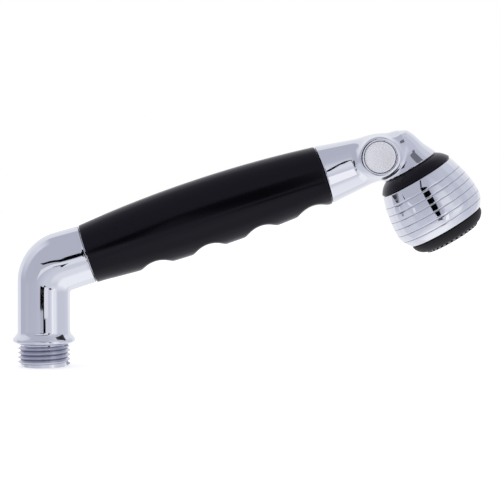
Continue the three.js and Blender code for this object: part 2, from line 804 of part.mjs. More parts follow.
// Sends the water to the middle or, through a cross drilling, to the rim.
function distributor() {
  const diameter = skirtDiameter;
  const blank = turned([
    [0, distributorTop],
    [diameter / 2, distributorTop],
    [diameter / 2, distributorTop + distributorRim],
    [diameter / 2 - distributorStep, distributorTop + distributorRim + distributorStep],
    [diameter / 2 - distributorStep, distributorBottom],
    [0, distributorBottom],
  ]);
  const crossAt = distributorBottom - portDiameter / 2 - distributorStep;
  const centrePort = rod(portDiameter, distributorTop - 1, distributorBottom + 1, portSides);
  const rimPort = rod(portDiameter, distributorTop - 1, crossAt, portSides);
  const cross = rod(crossDiameter, portRadius, diameter, portSides).rotateX(-Math.PI / 2);
  const ports = [moved(centrePort, portRadius, 0, 0), moved(rimPort, 0, portRadius, 0)];
  return combine(blank, { cut: [...ports, moved(cross, 0, 0, crossAt)] });
}

function bumperRing() {
  const mouth = bellMouth / 2;
  const opening = faceDiameter / 2 + seat;
  const lipOuter = mouth - bellWall - seat;
  const lipInner = coreDiameter / 2 + seat;
  const roundTop = bumperTop + bumperBand;
  const rounded = [];
  const roundSteps = 5;
  for (let i = 0; i <= roundSteps; i += 1) {
    const angle = (i / roundSteps) * (Math.PI / 2);
    const drawnIn = bumperRound * (1 - Math.cos(angle) ** bumperFullness);
    const down = Math.sin(angle) ** bumperFullness;
    rounded.push([mouth - drawnIn, THREE.MathUtils.lerp(roundTop, bumperBottom, down)]);
  }
  return turned([
    [lipInner, bumperTop - bumperLip],
    [lipOuter, bumperTop - bumperLip],
    [lipOuter, bumperTop],
    [mouth, bumperTop],
    ...rounded,
    [opening, bumperBottom],
    [opening, faceTop],
    [lipInner, faceTop],
  ], headSides);
}

function sprayFace() {
  const skirt = skirtDiameter / 2;
  const hole = aeratorDiameter / 2 + seat;
  const grooveFloor = skirt - faceGrooveDepth;
  const [grooveTop, grooveBottom] = [faceSealAt - grooveWidth / 2, faceSealAt + grooveWidth / 2];
  const blank = turned([
    [hole, skirtTop],
    [skirt, skirtTop],
    [skirt, grooveTop],
    [grooveFloor, grooveTop],
    [grooveFloor, grooveBottom],
    [skirt, grooveBottom],
    [skirt, faceTop],
    [faceDiameter / 2, faceTop],
    [faceDiameter / 2, faceBottom - faceEdge],
    [faceDiameter / 2 - faceEdge, faceBottom],
    [hole, faceBottom],
  ]);
  const notch = new THREE.BoxGeometry(2 * faceSlotDepth, faceSlotWidth, faceThickness + 2);
  notch.translate(faceDiameter / 2, 0, faceBottom - faceThickness / 2);
  const notches = [];
  for (let i = 0; i < faceSlots; i += 1) {
    notches.push(notch.clone().rotateZ((i / faceSlots) * 2 * Math.PI));
  }
  return combine(blank, { cut: notches });
}

function faceSeal() {
  return sealingRing(skirtDiameter, skirtDiameter - 2 * faceGrooveDepth + 2 * seat, faceSealAt);
}

function aeratorHousing() {
  const outer = aeratorDiameter / 2;
  const inner = outer - aeratorWall;
  const lip = inner - aeratorLip;
  const top = distributorBottom + aeratorGap;
  return turned([
    [inner, top],
    [outer, top],
    [outer, aeratorBottom - aeratorEdge],
    [outer - aeratorEdge, aeratorBottom],
    [lip, aeratorBottom],
    [lip, aeratorBottom - aeratorLipThickness],
    [inner, aeratorBottom - aeratorLipThickness],
  ]);
}

function aeratorScreen() {
  const diameter = aeratorDiameter - 2 * aeratorWall - 2 * seat;
  const to = aeratorBottom - aeratorLipThickness - seat;
  const from = to - screenThickness;
  const places = [];
  for (let row = -2; row <= 2; row += 1) {
    for (let column = -2; column <= 2; column += 1) {
      const [x, y] = [column * screenPitch, row * screenPitch];
      if (Math.hypot(x, y) + screenHole < diameter / 2) places.push([x, y]);
    }
  }
  const blank = rod(diameter, from, to, boreSides);
  const hole = new THREE.BoxGeometry(screenHole, screenHole, 4 * screenThickness);
  return combine(blank, { cut: places.map(([x, y]) => moved(hole, x, y, from)) });
}

// ---- Assembly ----

place('inlet_elbow', inletElbow(), 'chrome', assembly);
place('inlet_strainer', inletStrainer(), 'acetal', assembly);

place('handle_tube', handleTube(), 'brass', handle);
place('tube_seal_inlet', tubeRing(tubeStart + tubeRingInset), 'rubber', handle);
place('tube_seal_neck', tubeRing(tubeEnd - tubeRingInset), 'rubber', handle);
place('finger_grip', grip(), 'gripBlack', handle);
place('neck_body', neckBody(), 'chrome', handle);

place('valve_spool', valveSpool(), 'brass', valve);
['front', 'middle', 'back'].forEach((name, i) => {
  place(`spool_seal_${name}`, spoolRing(spoolSeals[i]), 'rubber', valve);
});
const frontButton = place('front_button', pushButton(), 'satinChrome', valve);
frontButton.rotation.x = Math.PI;
frontButton.position.z = spoolFront - seat;
const backButton = place('back_button', pushButton(), 'satinChrome', valve);
backButton.position.z = spoolBack + seat;

place('collar', collar(), 'blackPlastic', head);
place('head_stem', headStem(), 'brass', head);
place('stem_seal_upper', stemRing(0), 'rubber', head);
place('stem_seal_lower', stemRing(1), 'rubber', head);
place('port_disc', portDisc(), 'acetal', head);
place('stem_clip', stemClip(), 'steel', head);

place('head_bell', headBell(), 'chrome', head);
place('head_core', headCore(), 'greyPlastic', head);
place('port_seal', portSeal(), 'rubber', head);
place('distributor', distributor(), 'acetal', head);
place('bumper_ring', bumperRing(), 'rubber', head);
place('spray_face', sprayFace(), 'greyPlastic', head);
place('face_seal', faceSeal(), 'rubber', head);
place('aerator_housing', aeratorHousing(), 'greyPlastic', head);
place('aerator_screen', aeratorScreen(), 'steel', head);

export default assembly;
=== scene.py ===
"""Dresses the bath sprayer: chromed elbow, neck and bell, moulded grip, satin buttons, rings and face.

Shapes are modelled in millimetres in the local frames of the inlet, the handle, the valve and the head, and
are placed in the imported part's frame, in metres, when they are finished.
"""

import json
import math

import bmesh
import bpy
import numpy as np
from mathutils import Matrix, Vector


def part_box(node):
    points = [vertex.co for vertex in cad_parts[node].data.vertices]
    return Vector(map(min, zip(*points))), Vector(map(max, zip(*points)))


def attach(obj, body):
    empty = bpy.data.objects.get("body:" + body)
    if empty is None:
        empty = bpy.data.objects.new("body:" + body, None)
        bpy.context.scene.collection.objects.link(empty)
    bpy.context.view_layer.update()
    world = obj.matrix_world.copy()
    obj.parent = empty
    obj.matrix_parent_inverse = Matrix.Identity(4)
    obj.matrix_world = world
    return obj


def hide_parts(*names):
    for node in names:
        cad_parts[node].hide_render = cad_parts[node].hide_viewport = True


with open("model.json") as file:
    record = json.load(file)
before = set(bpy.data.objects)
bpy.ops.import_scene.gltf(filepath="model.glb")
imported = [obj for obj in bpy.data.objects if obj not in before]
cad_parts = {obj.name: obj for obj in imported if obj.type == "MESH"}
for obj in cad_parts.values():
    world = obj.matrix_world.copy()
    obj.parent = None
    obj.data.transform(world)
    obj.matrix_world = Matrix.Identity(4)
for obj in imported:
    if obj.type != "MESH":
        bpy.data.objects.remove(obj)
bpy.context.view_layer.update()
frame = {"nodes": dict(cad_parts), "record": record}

MM = 0.001
FULL_TURN = 2 * math.pi
MERGE_WITHIN = 1e-4
GAP = 0.3   # clearance between neighbouring pieces


# ---- Places, read from the frame ----

def node_centre(name):
    """The middle of a CAD node's box, brought on to the plane that halves the sprayer."""
    low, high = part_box(name)
    centre = (Vector(low) + Vector(high)) / 2
    return Vector((centre.x, 0, centre.z))


def axes_at(origin, along):
    """A local frame in millimetres whose Z runs along a direction and whose Y runs across the sprayer."""
    z = Vector(along).normalized()
    y = Vector((0, 1, 0))
    turn = Matrix((y.cross(z), y, z)).transposed().to_4x4()
    return Matrix.Translation(origin) @ turn @ Matrix.Scale(MM, 4)


def span(name, place):
    """Lowest and highest Z of a CAD node in a local frame, in millimetres."""
    mesh = frame["nodes"][name].data
    points = np.empty(len(mesh.vertices) * 3)
    mesh.vertices.foreach_get("co", points)
    to_local = np.array(place.inverted())
    along = points.reshape(-1, 3) @ to_local[2, :3] + to_local[2, 3]
    return float(along.min()), float(along.max())


joints = {joint["name"]: joint for joint in frame["record"]["behaviour"]["joints"]}
lower_seal = node_centre("tube_seal_inlet")
handle_along = (node_centre("tube_seal_neck") - lower_seal).normalized()
# where the inlet's axis meets the handle's
corner = lower_seal - handle_along * (lower_seal.x / handle_along.x)
handle = axes_at(corner, handle_along)
head = axes_at(Vector(joints["head_turn"]["pos_m"]), joints["head_turn"]["axis"])
inlet = Matrix.Scale(MM, 4)
valve = Matrix.Translation(node_centre("front_button")) @ (
    handle.to_3x3() @ Matrix.Rotation(-math.pi / 2, 3, "X")).to_4x4()

GRIP_START, GRIP_END = span("finger_grip", handle)
NECK_START = GRIP_END + GAP
HEAD_ALONG = (handle.inverted() @ head.translation).z
VALVE_ALONG = (handle.inverted() @ valve.translation).z
COLLAR_TOP, COLLAR_BOTTOM = span("collar", head)
BELL_TOP, BELL_BOTTOM = span("head_bell", head)
BUMPER_LIP, BUMPER_BOTTOM = span("bumper_ring", head)
FACE_SKIRT, FACE_BOTTOM = span("spray_face", head)
FRONT_FACE, FRONT_BACK = span("front_button", valve)
BACK_FRONT, BACK_FACE = span("back_button", valve)


# ---- Making meshes ----

def rounded_outline(points, closed):
    """A wire of (radius, height, rounding) points in the XZ plane, its corners rounded."""
    bm = bmesh.new()
    corners = [bm.verts.new((point[0], 0, point[1])) for point in points]
    for pair in zip(corners, corners[1:]):
        bm.edges.new(pair)
    if closed:
        bm.edges.new((corners[-1], corners[0]))
    for vert, point in zip(corners, points):
        if len(point) > 2:
            bmesh.ops.bevel(bm, geom=[vert], offset=point[2], offset_type="OFFSET", affect="VERTICES",
                            segments=4, profile=0.5, material=-1)
    return bm


def close_skin(bm):
    """Merges the verts that lie together and turns the faces outwards."""
    bmesh.ops.remove_doubles(bm, verts=bm.verts[:], dist=MERGE_WITHIN)
    bmesh.ops.recalc_face_normals(bm, faces=bm.faces[:])
    return bm


def turned(points, steps=128, closed=None):
    """A round body or skin: an outline of (radius, height, rounding) points turned once round Z.

    An outline that starts off the axis is closed into a ring unless it is to stay open.
    """
    if closed is None:
        closed = points[0][0] > 0
    bm = rounded_outline(points, closed)
    bmesh.ops.spin(bm, geom=bm.verts[:] + bm.edges[:], cent=(0, 0, 0), axis=(0, 0, 1), dvec=(0, 0, 0),
                   angle=FULL_TURN, steps=steps, use_merge=True, use_normal_flip=False, use_duplicate=False)
    return close_skin(bm)


def rim_edges(bm, reach):
    """The open edges whose ends all pass a test."""
    return [edge for edge in bm.edges if edge.is_boundary and all(reach(vert.co) for vert in edge.verts)]


def grow_ring(bm, edges, move):
    """Extrudes an open ring of edges, moves it, and returns the new ring's edges."""
    grown = bmesh.ops.extrude_edge_only(bm, edges=edges)["geom"]
    for item in grown:
        if isinstance(item, bmesh.types.BMVert):
            item.co = move(item.co)
    return [item for item in grown if isinstance(item, bmesh.types.BMEdge)]


def apply_modifiers(piece):
    """Makes what a piece's modifiers give its own mesh."""
    graph = bpy.context.evaluated_depsgraph_get()
    mesh = bpy.data.meshes.new_from_object(piece.evaluated_get(graph))
    piece.modifiers.clear()
    piece.data = mesh


def cut_away(piece, tool):
    """Cuts a tool's shape out of a piece and uses the tool up."""
    modifier = piece.modifiers.new("Boolean", "BOOLEAN")
    modifier.operation = "DIFFERENCE"
    modifier.solver = "EXACT"
    modifier.object = tool
    apply_modifiers(piece)
    bpy.data.objects.remove(tool)


def to_object(name, bm, place):
    """Turns a bmesh in a local frame into an object at the origin, in metres."""
    bmesh.ops.transform(bm, matrix=place, verts=bm.verts[:])
    mesh = bpy.data.meshes.new(name)
    bm.to_mesh(mesh)
    bm.free()
    piece = bpy.data.objects.new(name, mesh)
    bpy.context.scene.collection.objects.link(piece)
    return piece


def dress(piece, material, body, nodes=(), sharp=30):
    """Shades a piece, gives it its material, puts it on what it rides on, and hides the CAD nodes it stands
    for.
    """
    piece.data.shade_smooth()
    piece.data.set_sharp_from_angle(angle=math.radians(sharp))
    piece.data.materials.clear()
    piece.data.materials.append(material)
    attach(piece, body)
    if nodes:
        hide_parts(*nodes)


def refinish(piece, material, place, test):
    """Gives a second material to the faces whose centres, in a local frame, pass a test."""
    piece.data.materials.append(material)
    to_local = place.inverted()
    for face in piece.data.polygons:
        if test(to_local @ face.center):
            face.material_index = len(piece.data.materials) - 1


# ---- Materials ----

def linear(hex_colour):
    """sRGB hex to linear RGBA."""
    channels = [int(hex_colour[i:i + 2], 16) / 255 for i in (1, 3, 5)]
    return [*(c / 12.92 if c <= 0.04045 else ((c + 0.055) / 1.055) ** 2.4 for c in channels), 1.0]


def add(tree, kind, links=None, **settings):
    """Adds a node, sets its properties or unlinked inputs, and links named inputs to other nodes' outputs."""
    node = tree.nodes.new(kind)
    for key, value in settings.items():
        if hasattr(node, key):
            setattr(node, key, value)
        else:
            node.inputs[key.replace("_", " ")].default_value = value
    for key, source in (links or {}).items():
        tree.links.new(source, node.inputs[key])
    return node


def surface(name, **shader_settings):
    """A new material: its tree, its Principled shader and its object coordinates in metres."""
    material = bpy.data.materials.new(name)
    material.use_nodes = True
    tree = material.node_tree
    shader = tree.nodes["Principled BSDF"]
    for key, value in shader_settings.items():
        shader.inputs[key.replace("_", " ")].default_value = value
    place = tree.nodes.new("ShaderNodeTexCoord").outputs["Object"]
    return material, tree, shader, place


def grain(tree, place, size, detail=3.0, roughness=0.5):
    """Noise whose lumps are about size millimetres across."""
    return add(tree, "ShaderNodeTexNoise", {"Vector": place}, Scale=1 / (size * MM), Detail=detail,
               Roughness=roughness).outputs["Fac"]


def roughen(tree, shader, pattern, low, high):
    """Spreads the roughness over a range by a pattern that runs from 0 to 1."""
    ranged = add(tree, "ShaderNodeMapRange", {"Value": pattern}, To_Min=low, To_Max=high)
    tree.links.new(ranged.outputs["Result"], shader.inputs["Roughness"])


def mixed(tree, factor, first, second):
    """A mix of two colours. Each input is a value, an sRGB hex or another node's output."""
    node = add(tree, "ShaderNodeMix", data_type="RGBA")
    for name, value in (("Factor", factor), ("A", first), ("B", second)):
        if isinstance(value, bpy.types.NodeSocket):
            tree.links.new(value, node.inputs[name])
        else:
            node.inputs[name].default_value = linear(value) if isinstance(value, str) else value
    return node.outputs["Result"]


def bump(tree, shader, height, depth):
    """Relief of a depth in millimetres."""
    node = add(tree, "ShaderNodeBump", {"Height": height}, Distance=depth * MM, Strength=1.0)
    tree.links.new(node.outputs["Normal"], shader.inputs["Normal"])


def chrome_plate():
    """Bright chromium over nickel on a polished casting: a blue-grey mirror with faint wipe marks."""
    material, tree, shader, place = surface("chrome_plate", Base_Color=linear("#F0F1F6"), Metallic=1.0)
    roughen(tree, shader, grain(tree, place, 6, detail=6.0, roughness=0.7), 0.02, 0.07)
    # the casting's slight waviness under the plate
    bump(tree, shader, grain(tree, place, 14, detail=1.0), 0.03)
    return material


def satin_chrome():
    """Chrome over a bead-blasted face under a milky lacquer: soft, with no clear image in it."""
    material, tree, shader, place = surface("satin_chrome_plate", Base_Color=linear("#FAFAFD"), Metallic=0.6)
    blast = grain(tree, place, 0.25, detail=2.0)
    roughen(tree, shader, blast, 0.42, 0.55)
    bump(tree, shader, blast, 0.006)
    return material


def dull_metal(name, colour, size, low, high, detail=3.0):
    """Rougher, greyer metal: the plate over the rolled thread, its grey partly painted shade; painted shade
    in the thread's root and the bell's grooves; or stainless strip.
    """
    material, tree, shader, place = surface(name, Base_Color=linear(colour), Metallic=1.0)
    roughen(tree, shader, grain(tree, place, size, detail), low, high)
    return material


def moulded_black(name, colour, roughness, depth):
    """Injection-moulded black plastic from a spark-eroded mould: a fine even grain, greyer at its edges."""
    material, tree, shader, place = surface(
        name, IOR=1.46, Specular_IOR_Level=0.34, Specular_Tint=linear("#E6E2F4"), Sheen_Weight=0.06,
        Sheen_Roughness=0.3)
    broad = grain(tree, place, 20)
    paler = [channel * 1.25 for channel in linear(colour)[:3]] + [1]
    tree.links.new(mixed(tree, broad, colour, paler), shader.inputs["Base Color"])
    roughen(tree, shader, broad, roughness - 0.03, roughness + 0.04)
    bump(tree, shader, grain(tree, place, 0.5, detail=2.0), depth)
    return material


def black_rubber():
    """Moulded nitrile rubber: matt, slightly brown-grey, with a dusty bloom."""
    material, tree, shader, place = surface("nitrile_rubber", IOR=1.52, Specular_IOR_Level=0.3)
    bloom = grain(tree, place, 4, detail=5.0, roughness=0.6)
    tree.links.new(mixed(tree, bloom, "#0E0E12", "#17171B"), shader.inputs["Base Color"])
    roughen(tree, shader, bloom, 0.45, 0.6)
    bump(tree, shader, grain(tree, place, 0.3), 0.008)
    return material


def pale_plastic(name, colour, roughness):
    """Pale moulded plastic, such as ABS or acetal: slightly translucent, with a soft moulded gloss."""
    material, tree, shader, place = surface(
        name, Base_Color=linear(colour), IOR=1.5, Subsurface_Weight=0.08, Subsurface_Scale=0.001)
    roughen(tree, shader, grain(tree, place, 3, detail=4.0), roughness - 0.06, roughness + 0.06)
    bump(tree, shader, grain(tree, place, 0.4), 0.005)
    return material


def turned_brass():
    """Free-cutting brass as it leaves the lathe: yellow, with patches of darker tarnish."""
    material, tree, shader, place = surface("turned_brass", Metallic=1.0)
    tarnish = grain(tree, place, 5, detail=5.0)
    tree.links.new(mixed(tree, tarnish, "#D9BC74", "#B08D47"), shader.inputs["Base Color"])
    roughen(tree, shader, tarnish, 0.22, 0.38)
    return material


CHROME = chrome_plate()
SATIN = satin_chrome()
# the thread's plate: rougher than the polished chrome, and its greyer colour is painted shade for the dim
# table it would mirror
THREAD = dull_metal("plated_thread", "#D2D3DE", 0.5, 0.16, 0.3)
# painted shade: a darker band down in the thread's root
THREAD_ROOT_SHADE = dull_metal("thread_root_painted_shade", "#8A8B9A", 0.6, 0.3, 0.45)
# painted shade: darker lines down in the bell's grooves
GROOVE_SHADE = dull_metal("groove_painted_shade", "#CDCEDA", 0.6, 0.3, 0.45)
STAINLESS = dull_metal("stainless_strip", "#C2C3C6", 0.8, 0.18, 0.34, detail=4.0)
GRIP_BLACK = moulded_black("grip_moulded_black", "#030204", 0.2, 0.004)
COLLAR_BLACK = moulded_black("collar_moulded_black", "#040305", 0.24, 0.003)
# painted shade: near-black walls in the face's slots, where they lead into the head
SLOT_SHADE = moulded_black("slot_painted_shade", "#08080A", 0.5, 0.003)
RUBBER = black_rubber()
PALE_GREY = pale_plastic("pale_grey_abs", "#CFCFD4", 0.35)
FACE_GREY = pale_plastic("spray_face_abs", "#9FA0A6", 0.35)
ACETAL = pale_plastic("natural_acetal", "#E9E7E0", 0.4)
BRASS = turned_brass()

# CAD nodes that keep their own shape and only take a finish
for finish, names in {
    BRASS: ("handle_tube", "head_stem", "valve_spool"),
    RUBBER: ("tube_seal_inlet", "tube_seal_neck", "spool_seal_front", "spool_seal_middle", "spool_seal_back",
             "stem_seal_upper", "stem_seal_lower", "port_seal", "face_seal"),
    ACETAL: ("inlet_strainer", "port_disc", "distributor"),
    PALE_GREY: ("head_core",),
    STAINLESS: ("stem_clip",),
}.items():
    for name in names:
        node = frame["nodes"][name]
        node.data.materials.clear()
        node.data.materials.append(finish)


# ---- Blends ----

def eased(share):
    """Runs from 0 to 1, level at both ends."""
    return share * share * (3 - 2 * share)


def soft_least(a, b, blend):
    """The lesser of two numbers, rounded off where they cross."""
    share = np.clip(0.5 + 0.5 * (b - a) / blend, 0, 1)
    return b + (a - b) * share - blend * share * (1 - share)


def soft_most(a, b, blend):
    """The greater of two numbers, rounded off where they cross."""
    return -soft_least(-a, -b, blend)


# ---- Inlet elbow ----

# the G1/2 hose thread
THREAD_RADIUS, THREAD_PITCH, THREAD_DEPTH, THREAD_LENGTH = 20.955 / 2, 1.814, 1.162, 9.2
ROOT_RADIUS = THREAD_RADIUS - THREAD_DEPTH
PIPE_RADIUS, GRIP_RADIUS = 10.65, 11.95
# the castings' spigots into the grip, and their sockets for the water tube
SPIGOT_RADIUS, SPIGOT_LENGTH, TUBE_SOCKET = 9.35, 7.2, 7.3
RISE = math.asin(handle_along.z)   # of the handle, from level


def sweep_bend(bm, ring, start, end, pipe, branch, back, back_bend, throat_bend):
    """Carries a ring of edges up the inlet's axis, round the bend and along the handle's axis.

    It runs between the line of the elbow's back and the line of its throat. Pipe and branch are its radii
    before and after the bend, and back is how far the line of the back passes over the handle's axis.
    """
    bend_steps, straight_steps = 64, 8
    height = corner.z / MM
    up = Vector((-math.sin(RISE), 0, math.cos(RISE)))

    def bend_centre(beside, below):
        return Vector((beside, 0, height + (beside * math.sin(RISE) - below) / math.cos(RISE)))

    back_centre = bend_centre(back_bend - pipe, back_bend - back)
    throat_centre = bend_centre(throat_bend + pipe, throat_bend + branch)
    stations = [(Vector((-pipe, 0, start)), Vector((pipe, 0, start)), pipe)]
    for i in range(bend_steps + 1):
        angle = (math.pi / 2 - RISE) * i / bend_steps
        spoke = Vector((-math.cos(angle), 0, math.sin(angle)))
        width = pipe + (branch - pipe) * eased(i / bend_steps)
        stations.append((back_centre + spoke * back_bend, throat_centre + spoke * throat_bend, width))
    back_end, throat_end, _ = stations[-1]
    mouth = Vector((end * math.cos(RISE), 0, height + end * math.sin(RISE)))
    for i in range(1, straight_steps + 1):
        share = i / straight_steps
        stations.append((back_end.lerp(mouth + up * branch, share),
                         throat_end.lerp(mouth - up * branch, share), branch))
    for (outer, inner, width), (next_outer, next_inner, next_width) in zip(stations, stations[1:]):
        middle, half = (outer + inner) / 2, (inner - outer) / 2
        next_middle, next_half = (next_outer + next_inner) / 2, (next_inner - next_outer) / 2

        def carry(co):
            towards = (co - middle).dot(half) / half.length_squared
            point = next_middle + next_half * towards
            return Vector((point.x, co.y / width * next_width, point.z))
        ring = grow_ring(bm, ring, carry)
    return ring


def inlet_elbow():
    """The casting: its bore, end face, flange and pipe, then the bend and the spigot into the grip."""
    bore, pocket, pocket_depth = 5.9, 7, 12
    shank, flange, start = ROOT_RADIUS - 0.05, 12.55, 14.6
    bm = turned([
        (bore, start), (bore, pocket_depth, 0.2), (pocket, pocket_depth), (pocket, 0, 0.3), (shank, 0, 0.2),
        (shank, THREAD_LENGTH), (10.7, THREAD_LENGTH, 0.15), (flange - 0.1, 10.1, 0.3), (flange, 10.7, 0.3),
        (flange - 0.15, 11.4, 0.4), (10.95, 13.0, 0.5), (PIPE_RADIUS, 13.8, 0.6), (PIPE_RADIUS, start),
    ], closed=False)
    in_the_wall = (bore + PIPE_RADIUS) / 2
    outer = rim_edges(bm, lambda co: co.xy.length > in_the_wall)
    inner = rim_edges(bm, lambda co: co.xy.length < in_the_wall)
    end, edge, edge_middle = GRIP_START - GAP, 0.3, 0.09
    bore_bend, tube_stop, smoothing = 12, 10.8, 24

    rigid = set(bm.verts)
    outer = sweep_bend(bm, outer, start, end - edge, PIPE_RADIUS, GRIP_RADIUS, back=GRIP_RADIUS + 0.6,
                       back_bend=20.9, throat_bend=1.6)
    rigid.update(vert for ring_edge in outer for vert in ring_edge.verts)
    bend = [vert for vert in bm.verts if vert not in rigid]
    inner = sweep_bend(bm, inner, start, tube_stop, bore, bore, back=bore, back_bend=bore_bend + bore,
                       throat_bend=bore_bend - bore)
    for _ in range(smoothing):
        bmesh.ops.smooth_vert(bm, verts=bend, factor=0.5, use_axis_x=True, use_axis_y=True, use_axis_z=True)
    to_handle = handle.inverted() @ inlet
    from_handle = inlet.inverted() @ handle

    def stepped(ring, steps):
        """Carries a ring along the handle's axis through (distance, radius) steps."""
        for distance, radius in steps:
            def carry(co):
                out = (to_handle @ co).xy.normalized() * radius
                return from_handle @ Vector((out.x, out.y, distance))
            ring = grow_ring(bm, ring, carry)
        return ring

    spigot_end = GRIP_START + SPIGOT_LENGTH
    outer = stepped(outer, [(end - edge_middle, GRIP_RADIUS - edge_middle), (end, GRIP_RADIUS - edge),
                            (end, SPIGOT_RADIUS), (spigot_end - edge, SPIGOT_RADIUS),
                            (spigot_end, SPIGOT_RADIUS - edge)])
    inner = stepped(inner, [(tube_stop, TUBE_SOCKET), (spigot_end, TUBE_SOCKET)])
    bmesh.ops.bridge_loops(bm, edges=outer + inner)
    piece = to_object("inlet_elbow_cast", close_skin(bm), inlet)
    dress(piece, CHROME, "handle", ["inlet_elbow"], sharp=35)


def inlet_thread():
    """The thread: its rounded ridge wound round the shank, running in and out, its root darkened with painted
    shade.
    """
    # half of the ridge's section, from its foot in the shank to its crest: radius, and distance along
    half_section = [
        (ROOT_RADIUS - 0.3, THREAD_PITCH / 2), (ROOT_RADIUS + 0.02, THREAD_PITCH / 2),
        (ROOT_RADIUS + 0.12, 0.68), (THREAD_RADIUS - 0.16, 0.19), (THREAD_RADIUS, 0.05),
    ]
    turns, steps_a_turn, first_crest = 4.5, 96, 0.97
    steps = round(steps_a_turn * turns)
    rise = THREAD_PITCH * turns / steps
    bm = bmesh.new()
    start = bm.faces.new([bm.verts.new((radius, 0, -along)) for radius, along in half_section]
                         + [bm.verts.new((radius, 0, along)) for radius, along in reversed(half_section)])
    bmesh.ops.spin(bm, geom=[start], cent=(0, 0, 0), axis=(0, 0, 1), dvec=(0, 0, rise),
                   angle=FULL_TURN * turns, steps=steps, use_merge=False, use_normal_flip=False,
                   use_duplicate=False)
    bmesh.ops.translate(bm, vec=(0, 0, first_crest), verts=bm.verts[:])
    bmesh.ops.recalc_face_normals(bm, faces=bm.faces[:])
    # the ridge grows out of the shank at the mouth and sinks into it before the flange
    rise_in, fall_out, falls_at, sunk = 1.2, 1.4, THREAD_LENGTH - 1.3, ROOT_RADIUS - 0.1
    for vert in bm.verts:
        radius = vert.co.xy.length
        limit = min(ROOT_RADIUS + vert.co.z * rise_in, THREAD_RADIUS + (falls_at - vert.co.z) * fall_out)
        if radius > sunk and radius > limit:
            vert.co.xy *= max(limit, sunk) / radius
    piece = to_object("inlet_thread", bm, inlet)
    dress(piece, THREAD, "handle", sharp=50)
    # the faces near the root take a darker chrome: painted shade in the thread's hollow
    root_shade_band = 0.3
    refinish(piece, THREAD_ROOT_SHADE, inlet, lambda co: co.xy.length < ROOT_RADIUS + root_shade_band)


# ---- Grip ----

# how far the sleeve's back and sides swell by its middle, and its radius on the finger side
CROWN_SWELL, SIDE_SWELL, BELLY_RADIUS = 2.6, 0.8, 11.4
# the finger ridge, an oval on a root below the axis: the root, the swell at its middle and half its width
RIDGE_ROOT, RIDGE_SWELL, RIDGE_HALF_WIDTH = 4.5, 2.2, 10.8
RIDGE_BLEND, FINGER_BLEND = 0.8, 1.2
FINGER_RADIUS = 9.4
FINGERS = [(24.7, 11.3), (47.1, 11.6), (69.5, 11.3), (91.9, 10.3)]   # along from the grip's start, and depth


def grip_radius(z, angle):
    """Radius of the grip at a distance from its lower end, with angle 0 on the finger side."""
    arch = 1 - (2 * z / (GRIP_END - GRIP_START) - 1) ** 2
    crown = GRIP_RADIUS + CROWN_SWELL * arch
    belly = GRIP_RADIUS + (BELLY_RADIUS - GRIP_RADIUS) * eased(min(1, 3 * arch))
    side = GRIP_RADIUS + SIDE_SWELL * arch
    down, out = math.cos(angle), math.sin(angle)
    sleeve = 1 / math.hypot(down / (belly if down > 0 else crown), out / side)
    ridge_from = 0.05
    if down <= ridge_from:
        return sleeve
    # the ridge's radius, closed in on step by step
    tall = GRIP_RADIUS + RIDGE_SWELL * arch - RIDGE_ROOT
    ridge = RIDGE_ROOT + tall / 2
    for _ in range(12):
        inside = (max(ridge * down - RIDGE_ROOT, 0) / tall) ** 2 + (ridge * out / RIDGE_HALF_WIDTH) ** 2
        ridge /= max(inside, 1e-3) ** 0.25
    radius = soft_most(sleeve, ridge, RIDGE_BLEND)
    for middle, deep in FINGERS:
        offset = z - middle
        if abs(offset) < FINGER_RADIUS:
            scallop = deep + FINGER_RADIUS - math.sqrt(FINGER_RADIUS ** 2 - offset ** 2)
            radius = soft_least(radius, scallop / down, FINGER_BLEND)
    return float(radius)


def finger_grip():
    """The moulded sleeve, rounded at both ends, bored for the water tube and the castings' spigots."""
    edge, around_steps, along_steps = 0.5, 128, 220
    mouth, socket = SPIGOT_RADIUS + GAP, SPIGOT_LENGTH + GAP
    length = GRIP_END - GRIP_START
    lip = [0, 0.04, 0.15, 0.32, edge]
    stations = lip + [edge + (length - 2 * edge) * i / along_steps for i in range(1, along_steps)]
    stations += [length - station for station in reversed(lip)]
    bm = bmesh.new()
    bmesh.ops.create_circle(bm, segments=around_steps, radius=TUBE_SOCKET,
                            matrix=Matrix.Translation((0, 0, GRIP_START + socket)))
    ring = bm.edges[:]

    def moved(co, radius, height):
        return Vector((*(co.xy.normalized() * radius), GRIP_START + height))

    # up the bore, out over the upper end, down the outside and back in
    for radius, height in ((TUBE_SOCKET, length - socket), (mouth, length - socket), (mouth, length)):
        ring = grow_ring(bm, ring, lambda co: moved(co, radius, height))
    for station in reversed(stations):
        near = min(station, length - station)
        sunk = 0 if near >= edge else edge - math.sqrt(edge ** 2 - (edge - near) ** 2)
        ring = grow_ring(bm, ring, lambda co: moved(
            co, grip_radius(station, math.atan2(co.y, co.x)) - sunk, station))
    for radius, height in ((mouth, 0), (mouth, socket), (TUBE_SOCKET, socket)):
        ring = grow_ring(bm, ring, lambda co: moved(co, radius, height))
    piece = to_object("finger_grip_moulding", close_skin(bm), handle)
    dress(piece, GRIP_BLACK, "handle", ["finger_grip"], sharp=50)


# ---- Neck casting ----

OUTLET_FACE = COLLAR_TOP - GAP   # of the neck's lower end, along the head's axis
OUTLET_RADIUS, OUTLET_TOP = 11.85, -4.5
# how fast the neck narrows from the grip and widens to its outlet, and the cosines of those slopes
TAPER, TAPER_COSINE = 0.14, 0.99
FLARE, FLARE_COSINE = 0.475, 0.903
KNUCKLE_RADIUS = 7.5
BOSS_RADIUS, BOSS_REACH = 8.3, 11.65
